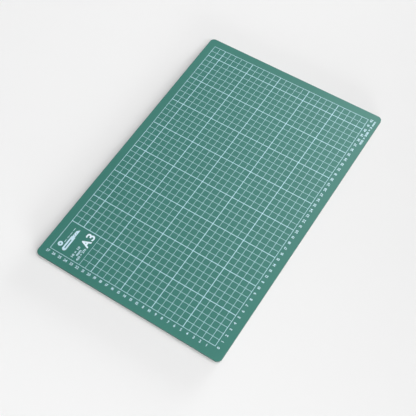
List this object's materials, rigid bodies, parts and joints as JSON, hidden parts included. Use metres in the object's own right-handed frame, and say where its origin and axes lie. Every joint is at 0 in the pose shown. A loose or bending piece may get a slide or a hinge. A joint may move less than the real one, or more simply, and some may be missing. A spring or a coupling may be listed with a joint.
{
  "type": "self healing cutting mat",
  "caption": "Flat rounded-corner laminated PVC cutting mat with a printed centimetre grid, bold rules, edge numerals and a title panel.",
  "frame": {"origin": "centre of the underside, on the surface that the mat lies on", "axes": "+X along the long edge towards the higher numerals, +Y along the short edge towards the title panel, +Z out of the printed face"},
  "size_m": [0.45, 0.3, 0.003],
  "materials": {
    "skin_green": "soft PVC, matte-satin, with a fine pebble grain",
    "cushion_green": "softer PVC, seen only on the cut edge",
    "core_green": "stiff PVC, seen only on the cut edge",
    "white_ink": "screen-printed ink, slightly proud, satin"
  },
  "bodies": {
    "root": {"underside_skin": "skin_green", "lower_cushion_ply": "cushion_green", "stiff_core_ply": "core_green", "upper_cushion_ply": "cushion_green", "cutting_skin": "skin_green", "ruled_frame": "white_ink", "size_letter": "white_ink", "size_digit": "white_ink", "knife_mark": "white_ink", "disc_mark": "white_ink"}
  },
  "joints": []
}
